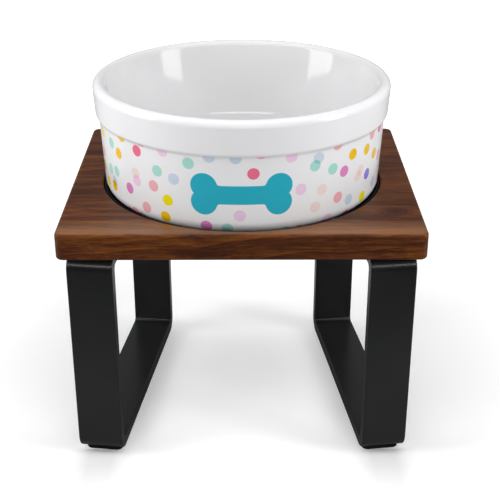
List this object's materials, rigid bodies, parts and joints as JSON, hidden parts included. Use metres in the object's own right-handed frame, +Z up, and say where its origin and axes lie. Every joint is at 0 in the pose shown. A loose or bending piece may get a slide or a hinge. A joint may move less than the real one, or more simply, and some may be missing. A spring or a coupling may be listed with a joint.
{
  "type": "dog feeder stand",
  "caption": "Raised pet feeder: a glazed bowl standing in the recess of a wooden board carried by bent flat-bar leg loops, so the bowl lifts straight out.",
  "frame": {"origin": "on the floor under the middle of the board", "axes": "+Z up, front towards -Y, +X to the right as seen from the front"},
  "size_m": [0.2328, 0.2028, 0.24],
  "materials": {
    "walnut": "oiled dark walnut, satin",
    "glaze": "glossy white glaze with a printed band of dots",
    "black_steel": "fine matt black powder coat",
    "screw_steel": "black zinc",
    "insert_brass": "turned brass",
    "seat_rubber": "moulded black rubber",
    "pad_rubber": "die-cut black rubber"
  },
  "bodies": {
    "stand": {"top_board": "walnut", "seat_ring": "seat_rubber", "left_leg_loop": "black_steel", "right_leg_loop": "black_steel", "left_leg_screws": "screw_steel", "right_leg_screws": "screw_steel", "left_leg_washers": "screw_steel", "right_leg_washers": "screw_steel", "left_leg_inserts": "insert_brass", "right_leg_inserts": "insert_brass", "front_left_foot_pad": "pad_rubber", "front_right_foot_pad": "pad_rubber", "rear_left_foot_pad": "pad_rubber", "rear_right_foot_pad": "pad_rubber"},
    "bowl": {"bowl": "glaze"}
  },
  "joints": [
    {"name": "bowl_lift", "type": "slide", "parent": "stand", "child": "bowl", "axis": [0, 0, 1], "range_m": [0, 0.12]}
  ]
}
